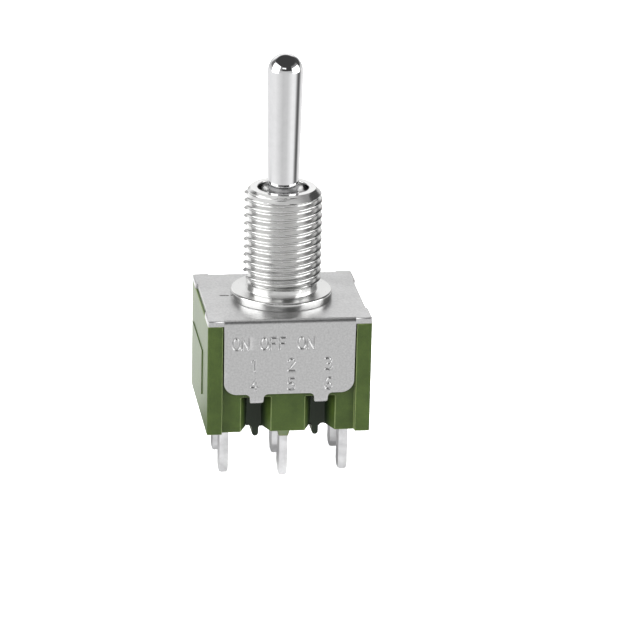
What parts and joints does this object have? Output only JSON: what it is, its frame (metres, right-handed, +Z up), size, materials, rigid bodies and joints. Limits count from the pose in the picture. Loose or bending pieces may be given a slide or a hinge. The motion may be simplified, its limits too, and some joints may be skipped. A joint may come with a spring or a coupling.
{
  "type": "miniature panel toggle switch",
  "caption": "Two-pole, three-position miniature toggle switch with a bat lever, a threaded panel bushing, a sheet-steel frame crimped round a moulded case, and printed-circuit pins.",
  "frame": {"origin": "under the axis of the lever and bushing, level with the tips of the two middle terminals", "axes": "+Z up along the bushing, X along each row of three terminals, which is the way the lever swings, and -Y is the front, the side of the frame flap that the picture shows"},
  "size_m": [0.0128, 0.0116, 0.0335],
  "materials": {
    "case_resin": "moulded green thermoset with a dull sheen",
    "tinned_steel": "tin plate, satin, finely mottled",
    "nickel_brass": "turned brass with bright nickel plate",
    "chrome_brass": "turned brass with mirror chrome plate",
    "steel_pin": "ground steel",
    "nylon": "natural moulded nylon",
    "silver_plate": "stamped copper alloy with silver plate",
    "contact_silver": "silver rivet head",
    "seal_resin": "amber-green potting resin, glossy",
    "spring_wire": "drawn spring wire"
  },
  "bodies": {
    "housing": {"case": "case_resin", "frame": "tinned_steel", "bushing": "nickel_brass", "terminal_front_middle": "silver_plate", "resin_collar_front_middle": "seal_resin", "terminal_front_left": "silver_plate", "fixed_contact_front_left": "contact_silver", "resin_collar_front_left": "seal_resin", "terminal_front_right": "silver_plate", "fixed_contact_front_right": "contact_silver", "resin_collar_front_right": "seal_resin", "terminal_rear_middle": "silver_plate", "resin_collar_rear_middle": "seal_resin", "terminal_rear_left": "silver_plate", "fixed_contact_rear_left": "contact_silver", "resin_collar_rear_left": "seal_resin", "terminal_rear_right": "silver_plate", "fixed_contact_rear_right": "contact_silver", "resin_collar_rear_right": "seal_resin"},
    "lever": {"lever": "chrome_brass", "pivot_pin": "steel_pin"},
    "actuator": {"actuator_block": "nylon", "plunger_spring_front": "spring_wire", "plunger_spring_rear": "spring_wire"},
    "plunger_front": {"plunger_front": "nylon"},
    "plunger_rear": {"plunger_rear": "nylon"},
    "rocker_front": {"rocker_front": "silver_plate"},
    "rocker_rear": {"rocker_rear": "silver_plate"}
  },
  "joints": [
    {"name": "lever_tilt", "type": "hinge", "parent": "housing", "child": "lever", "pos_m": [0, 0, 0.02055], "axis": [0, 1, 0], "range_deg": [-12.5, 12.5]},
    {"name": "actuator_slide", "type": "slide", "parent": "housing", "child": "actuator", "axis": [1, 0, 0], "range_m": [-0.00186, 0.00186]},
    {"name": "rocker_front_tilt", "type": "hinge", "parent": "housing", "child": "rocker_front", "pos_m": [0, -0.0019, 0.00758], "axis": [0, 1, 0], "range_deg": [-5.85, 5.85]},
    {"name": "plunger_front_press", "type": "slide", "parent": "actuator", "child": "plunger_front", "axis": [0, 0, 1], "range_m": [0, 0.0004], "stiffness_N_per_m": 350, "springref_m": -0.001, "deforming": ["plunger_spring_front"]},
    {"name": "rocker_rear_tilt", "type": "hinge", "parent": "housing", "child": "rocker_rear", "pos_m": [0, 0.0019, 0.00758], "axis": [0, 1, 0], "range_deg": [-5.85, 5.85]},
    {"name": "plunger_rear_press", "type": "slide", "parent": "actuator", "child": "plunger_rear", "axis": [0, 0, 1], "range_m": [0, 0.0004], "stiffness_N_per_m": 350, "springref_m": -0.001, "deforming": ["plunger_spring_rear"]}
  ],
  "couplings": [
    {"joint": "actuator_slide", "follows": "lever_tilt", "m_per_rad": -0.0084823},
    {"joint": "rocker_front_tilt", "follows": "lever_tilt", "ratio": -0.464},
    {"joint": "rocker_rear_tilt", "follows": "lever_tilt", "ratio": -0.464}
  ]
}
